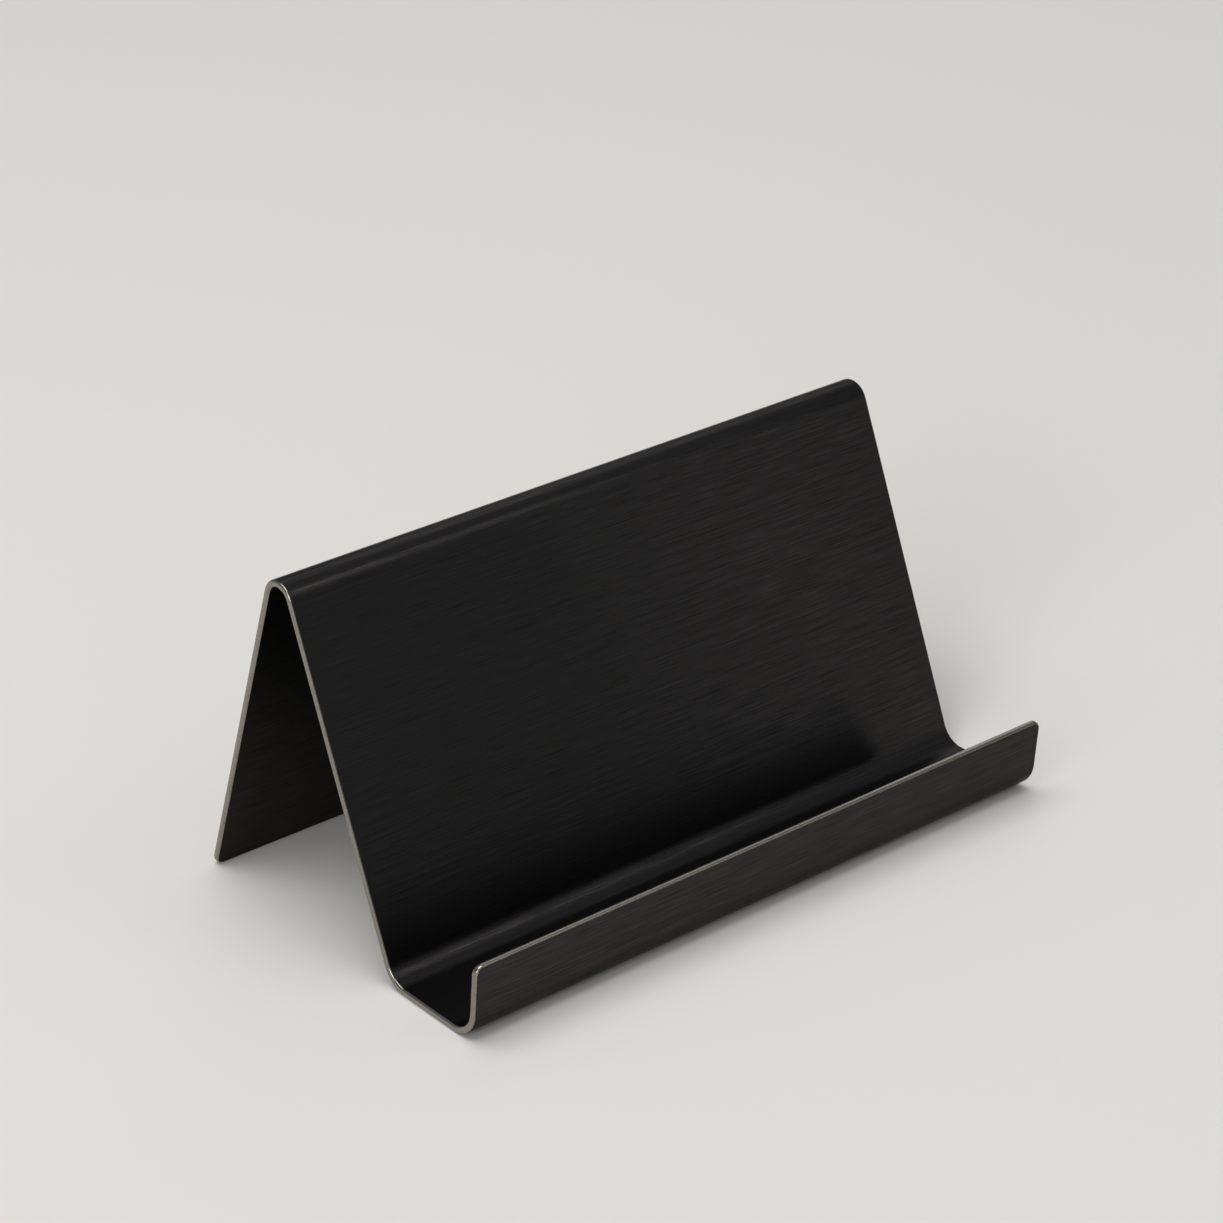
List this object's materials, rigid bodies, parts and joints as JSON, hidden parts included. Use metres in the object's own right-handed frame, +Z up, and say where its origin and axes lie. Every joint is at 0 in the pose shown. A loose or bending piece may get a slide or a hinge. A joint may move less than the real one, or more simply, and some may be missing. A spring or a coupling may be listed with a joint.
{
  "type": "business card stand",
  "caption": "Free-standing desk stand for business cards, folded from a strip of black brushed steel: a low lip, a trough, a leaning card panel and a back leg.",
  "frame": {"origin": "on the table, under the middle of the stand's overall width and depth", "axes": "+X along the bends, -Y towards the person who takes a card, +Z up"},
  "size_m": [0.1, 0.056, 0.0488],
  "materials": {
    "black_steel": "black stainless sheet, brushed along its length, with bare deburred edges"
  },
  "bodies": {
    "root": {"folded_stand": "black_steel"}
  },
  "joints": []
}
